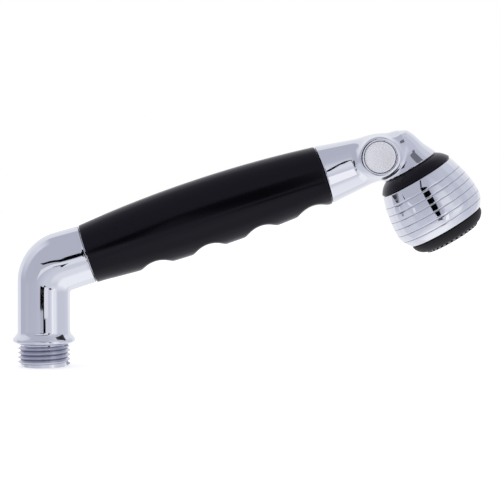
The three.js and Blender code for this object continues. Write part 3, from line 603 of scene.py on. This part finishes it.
# the hollows: the buttons' wells, the spool's and the tube's bores, the port, and the way down to the head
WELL_RADIUS, WELL_FLOOR, SPOOL_BORE = 6.5, 8.35, 5.4
TUBE_DEPTH, PORT_DEPTH, PORT_HALF_LONG, PORT_HALF_WIDE = 12.6, 11.6, 3.6, 1.35
DROP_RADIUS, DROP_TOP, SCREW_CLEARANCE, SCREW_TOP = 3.3, -2.2, 5.3, 2.4


def common(*fields):
    """The distance from what several forms share."""
    return np.maximum.reduce(fields)


def distances(points):
    """Signed distance from the neck's surface, in millimetres, for points in the handle's frame."""
    x, y, z = points.T
    to_head = np.array(head.inverted() @ handle)
    hx, hy, hz = (points @ to_head[:3, :3].T + to_head[:3, 3]).T
    from_axis, from_head, from_valve = np.hypot(x, y), np.hypot(hx, hy), np.hypot(x, z - VALVE_ALONG)
    past_head = z - HEAD_ALONG - 1
    # the skin: taper, knuckle and outlet, then the valve's boss across them
    taper = (from_axis - (GRIP_RADIUS - TAPER * (z - NECK_START))) * TAPER_COSINE
    knuckle = np.sqrt(x ** 2 + y ** 2 + (z - HEAD_ALONG) ** 2) - KNUCKLE_RADIUS
    outlet = (from_head - (OUTLET_RADIUS + FLARE * (hz - OUTLET_FACE))) * FLARE_COSINE
    boss = soft_most(from_valve - BOSS_RADIUS, np.abs(y) - BOSS_REACH, 1.4)
    body = soft_least(common(taper, past_head), knuckle, 1.2)
    body = soft_least(body, common(outlet, OUTLET_TOP - hz), 2.7)
    body = soft_least(body, boss, 3.4)
    # its two ends, and the spigot that reaches back into the grip
    body = soft_most(body, common(NECK_START - z, hz - OUTLET_FACE), 0.4)
    spigot = common(from_axis - SPIGOT_RADIUS, z - NECK_START - 2, GRIP_END - SPIGOT_LENGTH - z)
    body = np.minimum(body, spigot)
    hollows = np.minimum.reduce((
        common(from_valve - WELL_RADIUS, WELL_FLOOR - np.abs(y)),
        from_valve - SPOOL_BORE,
        common(from_axis - TUBE_SOCKET, z - NECK_START - TUBE_DEPTH),
        common(np.abs(x) - PORT_HALF_LONG, np.abs(y) - PORT_HALF_WIDE, NECK_START + PORT_DEPTH - z,
               past_head),
        common(from_head - DROP_RADIUS, DROP_TOP - hz),
        common(from_head - SCREW_CLEARANCE, SCREW_TOP - hz),
    ))
    return soft_most(body, -hollows, 0.35)


def gradients(points, step=0.02):
    """How the distance changes along each axis."""
    columns = []
    for axis in range(3):
        offset = np.zeros(3)
        offset[axis] = step
        columns.append(distances(points + offset) - distances(points - offset))
    return np.stack(columns, axis=1) / (2 * step)


def neck_casting():
    """The neck: a copy of the solid, remeshed finely and settled on the blended surface."""
    rounds, stride, least_steepness = 8, 0.8, 0.2
    mesh = frame["nodes"]["neck_body"].data.copy()
    bm = bmesh.new()
    bm.from_mesh(mesh)
    bpy.data.meshes.remove(mesh)
    bmesh.ops.remove_doubles(bm, verts=bm.verts[:], dist=1e-6)
    piece = to_object("neck_casting", bm, handle.inverted())
    remesh = piece.modifiers.new("Remesh", "REMESH")
    remesh.mode = "VOXEL"
    remesh.voxel_size = 0.36
    apply_modifiers(piece)
    mesh = piece.data
    points = np.empty(len(mesh.vertices) * 3)
    mesh.vertices.foreach_get("co", points)
    points = points.reshape(-1, 3)
    for _ in range(rounds):
        slope = gradients(points)
        steepness = np.maximum((slope ** 2).sum(axis=1), least_steepness)
        points -= stride * (distances(points) / steepness)[:, None] * slope
    slope = gradients(points)
    normals = slope / np.linalg.norm(slope, axis=1)[:, None]
    placed = np.array(handle)
    mesh.vertices.foreach_set("co", (points @ placed[:3, :3].T + placed[:3, 3]).ravel())
    mesh.update()
    dress(piece, CHROME, "handle", ["neck_body"], sharp=180)
    # the surface's own normals, turned into the part's frame
    mesh.normals_split_custom_set_from_vertices((normals @ (placed[:3, :3] / MM).T).tolist())


# ---- Shut-off button ----

def push_button(name, node, base, face):
    """A dished satin button with a rounded edge, in the valve's frame, its face looking outwards."""
    radius, rim, thickness, dish, step, dish_steps = 6.3, 0.8, abs(face - base), 0.4, 0.03, 10
    socket, socket_depth = 2.55, 1.9
    outline = [(0, socket_depth), (socket, socket_depth), (socket, 0), (radius, 0, 0.2),
               (radius, thickness, 0.45)]
    for i in range(dish_steps, -1, -1):
        share = i / dish_steps
        outline.append(((radius - rim) * share, thickness - step - dish * (1 - share * share)))
    outwards = Matrix.Rotation(0 if face > base else math.pi, 4, "X")
    piece = to_object(name, turned(outline, steps=96), valve @ Matrix.Translation((0, 0, base)) @ outwards)
    dress(piece, SATIN, "shut_off_button", [node])


# ---- Head ----

COLLAR_RADIUS = 15.5
BELL_WIDEST_AT, BELL_RADIUS, BELL_MOUTH, BELL_WALL = 16.8, 18.8, 15.8, 1.3
BELL_LENGTH = BELL_BOTTOM - BELL_TOP
CORE_RADIUS = 12.95
FACE_RADIUS = 11.7
FACE_TOP = FACE_BOTTOM - 2.9   # of the face's disc, over its skirt


def collar():
    """The moulded shoulder between neck and bell."""
    web, wall, edge, land, fillet = 2.1, 2.3, 0.2, 0.6, 1.1
    inside = COLLAR_RADIUS - wall
    outline = [(SCREW_CLEARANCE, COLLAR_TOP), (OUTLET_RADIUS - edge, COLLAR_TOP, 0.1)]
    steps, first, last = 16, math.radians(25), math.radians(55)
    height = COLLAR_BOTTOM - COLLAR_TOP - edge - land
    for i in range(steps + 1):
        angle = first + (last - first) * i / steps
        out = (math.sin(angle) - math.sin(first)) / (math.sin(last) - math.sin(first))
        down = (math.cos(first) - math.cos(angle)) / (math.cos(first) - math.cos(last))
        outline.append((OUTLET_RADIUS + (COLLAR_RADIUS - OUTLET_RADIUS) * out,
                        COLLAR_TOP + edge + height * down))
    under_web = COLLAR_TOP + web
    outline += [(COLLAR_RADIUS, COLLAR_BOTTOM, 0.15), (inside, COLLAR_BOTTOM), (inside, under_web + fillet),
                (inside - fillet, under_web), (SCREW_CLEARANCE, under_web)]
    piece = to_object("shoulder_collar", turned(outline), head)
    dress(piece, COLLAR_BLACK, "handle", ["collar"])


def bell_radius(depth):
    """Radius of the bell's skin at a distance below its top."""
    if depth <= BELL_WIDEST_AT:
        return BELL_RADIUS - (BELL_RADIUS - COLLAR_RADIUS) * (1 - depth / BELL_WIDEST_AT) ** 2
    share = (depth - BELL_WIDEST_AT) / (BELL_LENGTH - BELL_WIDEST_AT)
    return BELL_RADIUS - (BELL_RADIUS - BELL_MOUTH) * share * share


def head_bell():
    """The drawn shell with its six turned grooves."""
    web, hole, skin_steps, wall_steps = 1.5, 10.2, 52, 12
    first, pitch, count, width, depth, margin = 4.8, 3.05, 6, 0.3, 0.22, 0.2
    grooves = [first + i * pitch for i in range(count)]
    marks = []
    for i in range(1, skin_steps):
        station = BELL_LENGTH * i / skin_steps
        if all(abs(station - groove) > width / 2 + margin for groove in grooves):
            marks.append((station, bell_radius(station)))
    # a rounded vee: across the groove, and how deep it is there
    section = [(-0.5, 0), (-0.42, 0.1), (-0.26, 0.8), (0, 1), (0.26, 0.8), (0.42, 0.1), (0.5, 0)]
    for groove in grooves:
        for offset, sunk in section:
            station = groove + offset * width
            marks.append((station, bell_radius(station) - depth * sunk))
    outline = [(hole, 0), (bell_radius(0), 0, 0.4)]
    outline += [(radius, station) for station, radius in sorted(marks)]
    outline += [(BELL_MOUTH, BELL_LENGTH, 0.2), (BELL_MOUTH - BELL_WALL, BELL_LENGTH)]
    inner_stations = [BELL_LENGTH * i / wall_steps for i in range(wall_steps - 1, 1, -1)]
    outline += [(bell_radius(station) - BELL_WALL, station) for station in inner_stations]
    outline += [(bell_radius(web) - BELL_WALL, web, 0.5), (hole, web)]
    outline = [(point[0], point[1] + BELL_TOP, *point[2:]) for point in outline]
    piece = to_object("grooved_bell", turned(outline, steps=160), head)
    dress(piece, CHROME, "spray_head", ["head_bell"], sharp=60)

    def in_a_groove(co):
        station = co.z - BELL_TOP
        beside = min(abs(station - groove) for groove in grooves)
        sunk = bell_radius(station) - co.xy.length
        return beside < width / 2 and 0.1 * depth < sunk < 2 * depth
    # the grooves' faces take a darker, rougher chrome: painted shade in the grooves
    refinish(piece, GROOVE_SHADE, head, in_a_groove)


def bumper_ring():
    """The soft ring round the spray face, drawn in towards it."""
    top, band, drawn_in, fullness, steps = BELL_BOTTOM + GAP, 0.5, 3.5, 1.25, 14
    lip_outer, lip_inner, opening = BELL_MOUTH - BELL_WALL - GAP, CORE_RADIUS + GAP, FACE_RADIUS + GAP
    outline = [(lip_inner, BUMPER_LIP), (lip_outer, BUMPER_LIP), (lip_outer, top), (BELL_MOUTH, top, 0.15)]
    for i in range(steps + 1):
        angle = math.pi / 2 * i / steps
        out = BELL_MOUTH - drawn_in * (1 - max(math.cos(angle), 0) ** fullness)
        outline.append((out, top + band + (BUMPER_BOTTOM - top - band) * math.sin(angle) ** fullness))
    outline += [(opening, BUMPER_BOTTOM, 0.1), (opening, FACE_TOP), (lip_inner, FACE_TOP)]
    piece = to_object("bumper_moulding", turned(outline), head)
    dress(piece, RUBBER, "spray_head", ["bumper_ring"])


def spray_face():
    """The face plate: slotted all round its rim for the spray, open in the middle for the stream."""
    hole, skirt, seal_floor, seal_middle, seal_half = 7.95, 11.05, 9.75, FACE_SKIRT + 2.7, 0.85
    seal_start, seal_end = seal_middle - seal_half, seal_middle + seal_half
    ring_outer, ring_inner, ring_depth, ring_slope = 9.9, 8.5, 0.35, 0.25
    slots, slot_middle, slot_size = 32, FACE_BOTTOM - 1.45, (2.0, 1.1, 4.9)
    outline = [
        (hole, FACE_SKIRT), (skirt, FACE_SKIRT, 0.2), (skirt, seal_start), (seal_floor, seal_start),
        (seal_floor, seal_end), (skirt, seal_end), (skirt, FACE_TOP), (FACE_RADIUS, FACE_TOP),
        (FACE_RADIUS, FACE_BOTTOM, 0.3), (ring_outer, FACE_BOTTOM, 0.1),
        (ring_outer - ring_slope, FACE_BOTTOM - ring_depth, 0.1),
        (ring_inner + ring_slope, FACE_BOTTOM - ring_depth, 0.1), (ring_inner, FACE_BOTTOM, 0.1),
        (hole, FACE_BOTTOM, 0.15),
    ]
    piece = to_object("slotted_face", turned(outline), head)
    bm = bmesh.new()
    slot = Matrix.Translation((FACE_RADIUS, 0, slot_middle)) @ Matrix.Diagonal((*slot_size, 1))
    bmesh.ops.create_cube(bm, size=1, matrix=slot)
    bmesh.ops.spin(bm, geom=bm.faces[:], cent=(0, 0, 0), axis=(0, 0, 1), dvec=(0, 0, 0),
                   angle=FULL_TURN * (slots - 1) / slots, steps=slots - 1, use_merge=False,
                   use_normal_flip=False, use_duplicate=True)
    cut_away(piece, to_object("slots", bm, head))
    dress(piece, FACE_GREY, "spray_head", ["spray_face"])
    # the slots' walls are painted near-black: painted shade, as they lead into the dark inside the head
    slot_floor = 10.5
    refinish(piece, SLOT_SHADE, head,
             lambda co: co.z > FACE_TOP and slot_floor < co.xy.length < FACE_RADIUS - 0.1)


def aerator():
    """The stream outlet: a threaded cup with a woven screen above its lip."""
    outer, inner, lip, lip_height = 7.65, 6.15, 5.25, 1.1
    top, bottom = span("aerator_housing", head)
    cup = turned([(inner, top), (outer, top, 0.2), (outer, bottom, 0.45), (lip, bottom, 0.3),
                  (lip, bottom - lip_height), (inner, bottom - lip_height)])
    dress(to_object("aerator_cup", cup, head), PALE_GREY, "spray_head", ["aerator_housing"])
    gauze_radius, mesh_radius, pitch, hole, through = 5.85, 4.8, 1.15, 0.85, 3
    top, bottom = span("aerator_screen", head)
    gauze = turned([(0, top), (gauze_radius, top, 0.1), (gauze_radius, bottom, 0.1), (0, bottom)])
    screen = to_object("aerator_gauze", gauze, head)
    bm = bmesh.new()
    rows = range(-4, 5)
    for i in rows:
        for j in rows:
            if math.hypot(i, j) * pitch < mesh_radius:
                spot = Matrix.Translation((i * pitch, j * pitch, (top + bottom) / 2))
                bmesh.ops.create_cube(bm, size=1, matrix=spot @ Matrix.Diagonal((hole, hole, through, 1)))
    cut_away(screen, to_object("gauze_holes", bm, head))
    dress(screen, STAINLESS, "spray_head", ["aerator_screen"])


inlet_elbow()
inlet_thread()
finger_grip()
neck_casting()
push_button("front_button_cap", "front_button", FRONT_BACK, FRONT_FACE)
push_button("back_button_cap", "back_button", BACK_FRONT, BACK_FACE)
collar()
head_bell()
bumper_ring()
spray_face()
aerator()


# ---- Studio ----

CAMERA_AZIMUTH, CAMERA_ELEVATION = math.radians(-3), math.radians(3.5)


def maths(tree, operation, *values):
    """One arithmetic node, its inputs numbers or other nodes' outputs."""
    node = add(tree, "ShaderNodeMath", operation=operation)
    for socket, value in zip(node.inputs, values):
        if isinstance(value, (int, float)):
            socket.default_value = value
        else:
            tree.links.new(value, socket)
    return node.outputs[0]


def between(tree, value, low, high):
    """Runs smoothly from 0 at one value to 1 at the other."""
    return add(tree, "ShaderNodeMapRange", {"Value": value}, interpolation_type="SMOOTHSTEP",
               From_Min=low, From_Max=high).outputs["Result"]


def studio_world():
    """A light tent: shaded over and to the left of the lens, lit below and to the right, white behind.

    Its panels are placed by their angle off the lens and by the way they lie from it, clockwise from straight
    up. Only mirrors and gloss see them: the camera and diffuse rays see plain white.
    """
    world = bpy.data.worlds.new("light_tent")
    bpy.context.scene.world = world
    world.use_nodes = True
    tree = world.node_tree
    background = tree.nodes["Background"]
    direction = tree.nodes.new("ShaderNodeTexCoord").outputs["Generated"]
    level = add(tree, "ShaderNodeVectorRotate", {"Vector": direction}, rotation_type="Z_AXIS",
                Angle=-CAMERA_AZIMUTH)
    square = add(tree, "ShaderNodeVectorRotate", {"Vector": level.outputs["Vector"]}, rotation_type="X_AXIS",
                 Angle=CAMERA_ELEVATION)
    axis = add(tree, "ShaderNodeSeparateXYZ", {"Vector": square.outputs["Vector"]})
    degrees = 180 / math.pi
    towards_lens = maths(tree, "MULTIPLY", axis.outputs["Y"], -1)
    off = maths(tree, "MULTIPLY", maths(tree, "ARCCOSINE", towards_lens), degrees)
    way = maths(tree, "MULTIPLY", maths(tree, "ARCTAN2", axis.outputs["X"], axis.outputs["Z"]), degrees)

    def panels(stops):
        """Colours by the way that they lie from the lens, in degrees."""
        ramp = add(tree, "ShaderNodeValToRGB", {"Fac": maths(tree, "MULTIPLY_ADD", way, 1 / 360, 0.5)})
        elements = ramp.color_ramp.elements
        while len(elements) < len(stops):
            elements.new(0.5)
        for element, (angle, colour) in zip(elements, stops):
            element.position = angle / 360 + 0.5
            element.color = linear(colour)
        return ramp.outputs["Color"]

    shade, dim, half, lit, bright = "#B7B9C7", "#C4C6D3", "#D1D3DE", "#E3E4EC", "#F6F7FC"
    centre, wall, wall_begins, wall_whole = "#B2B4C1", "#ECEDF2", 128, 145
    rings = [
        # from the lens outwards: where each ring begins to show, where it is all that shows, and its panels
        (8, 18, [(-180, half), (-130, dim), (-95, shade), (-5, shade), (25, half), (60, lit), (100, half),
                 (180, half)]),
        (34, 44, [(-180, lit), (-150, half), (-120, dim), (-95, shade), (0, shade), (35, dim), (70, half),
                  (95, "#ECEDF5"), (120, lit), (145, half), (165, lit), (180, lit)]),
        (58, 72, [(-180, bright), (-150, half), (-115, half), (-92, shade), (10, shade), (30, dim), (80, dim),
                  (110, half), (135, lit), (150, bright), (180, bright)]),
        (78, 88, [(-180, bright), (-150, half), (-115, half), (-104, shade), (-90, shade), (-70, half),
                  (-46, "#DEDFE8"), (-36, half), (-28, shade), (5, shade), (30, half), (110, "#CBCDD9"),
                  (135, lit), (152, bright), (180, bright)]),
        (110, 116, [(-180, lit), (40, lit), (75, half), (120, half), (150, lit), (180, "#F1F2F7")]),
    ]
    tent = centre
    for begins, whole, stops in rings:
        tent = mixed(tree, between(tree, off, begins, whole), tent, panels(stops))
    tent = mixed(tree, between(tree, off, wall_begins, wall_whole), tent, wall)
    rays = tree.nodes.new("ShaderNodeLightPath")
    plain = maths(tree, "MAXIMUM", rays.outputs["Is Camera Ray"], rays.outputs["Is Diffuse Ray"])
    tree.links.new(mixed(tree, plain, tent, "#FFFFFF"), background.inputs["Color"])
    background.inputs["Strength"].default_value = 1.0


def stand_cards(name, colour, cards):
    """Cards before the sprayer, given by their corners in millimetres; only mirrors see them."""
    bm = bmesh.new()
    for corners in cards:
        bm.faces.new([bm.verts.new(corner) for corner in corners])
    piece = to_object(name, bm, inlet)
    material = surface(name, Base_Color=linear("#040406"), Roughness=1.0, Specular_IOR_Level=0.0,
                       Emission_Color=linear(colour), Emission_Strength=1.0)[0]
    piece.data.materials.append(material)
    piece.visible_camera = piece.visible_diffuse = piece.visible_shadow = False


def upright(away, outline):
    """A card's corners, square to the lens at a distance before the sprayer, from (x, z) points."""
    return [(x, -away, z) for x, z in outline]


def studio_cards():
    """The flags that draw the dark lines into the chrome, and the pale cards that clear or light it."""
    far, middling, near = 300, 100, 63
    stand_cards("black_flags", "#000000", [
        # below the lens, turned edge-on to the head; seen in the upright pipe
        [(-39, -185, 16.7), (24, -128, 21.5), (24, -128, 0.5), (3, -147, -1.2), (3, -147, 11.6),
         (-39, -185, 8)],
        # a wedge over it, also edge-on to the head, and the wedge's thin end; seen in the branch
        [(31.6, -160, 33.5), (31.6, -160, 121), (5, -192, 102), (-21.4, -225, 92), (-21.4, -225, 47.5),
         (5, -192, 44)],
        upright(near, [(2, 52.5), (2, 44.5), (-36, 50.5), (-55, 62), (-38, 57)]),
        # a leaning strip past the lens, in two lengths; seen down the bell
        upright(far, [(1, 181), (105, 215), (133, 134), (155, 73), (168, 12), (118, 12), (86, 39), (50, 97)]),
        upright(far, [(125, -22), (178, -22), (237, -75), (143, -78)]),
        # a small hook; seen in the neck before the button
        upright(near, [(127, 91), (129, 102), (131, 112), (133, 119), (137, 118), (135, 108), (133, 106),
                       (132, 98), (131, 92)]),
    ])
    # a leaf; seen in the neck between the button and the collar
    stand_cards("grey_flag", "#6F707C", [
        upright(near, [(138, 146), (149, 145), (168, 157), (190, 181), (206, 200), (200, 212), (180, 205),
                       (158, 180)]),
    ])
    # lights the right of the bell
    stand_cards("white_card", "#FBFBFF", [
        upright(far, [(235, 45), (262, 45), (380, -165), (300, -165), (240, 10)]),
    ])
    # hides the flag below the lens from the branch
    stand_cards("pale_card", "#E3E4EC", [
        upright(middling, [(-60, 26), (9, 26), (9, 12), (38, 12), (38, 40), (-60, 40)]),
    ])


def floor():
    """A pale table top under the sprayer; mirrors look past it into the lower half of the tent."""
    half_side, middle, under, glow = 1500, 90, 0.05, 0.42
    bm = bmesh.new()
    bmesh.ops.create_grid(bm, x_segments=1, y_segments=1, size=half_side,
                          matrix=Matrix.Translation((middle, 0, -under)))
    piece = to_object("table_top", bm, inlet)
    material, tree, shader, _ = surface("matt_white_laminate", Base_Color=linear("#E8E8EC"), Roughness=0.9)
    rays = tree.nodes.new("ShaderNodeLightPath")
    seen = maths(tree, "MAXIMUM", rays.outputs["Is Camera Ray"], rays.outputs["Is Transmission Ray"])
    shader.inputs["Emission Color"].default_value = (1, 1, 1, 1)
    tree.links.new(maths(tree, "MULTIPLY", seen, glow), shader.inputs["Emission Strength"])
    piece.data.materials.append(material)
    piece.visible_glossy = False


def camera():
    """A long lens, square to the sprayer's side and a little above and to the left of it."""
    data = bpy.data.cameras.new("camera")
    data.sensor_width = 36
    data.lens = 127.4
    piece = bpy.data.objects.new("camera", data)
    bpy.context.scene.collection.objects.link(piece)
    bpy.context.scene.camera = piece
    target = Vector((0.08325, 0, 0.0466))
    distance = 0.7164
    back = Vector((math.sin(CAMERA_AZIMUTH) * math.cos(CAMERA_ELEVATION),
                   -math.cos(CAMERA_AZIMUTH) * math.cos(CAMERA_ELEVATION), math.sin(CAMERA_ELEVATION)))
    piece.location = target + back * distance
    piece.rotation_euler = (-back).to_track_quat("-Z", "Y").to_euler()


studio_world()
studio_cards()
floor()
camera()
bpy.context.scene.view_settings.view_transform = "Standard"
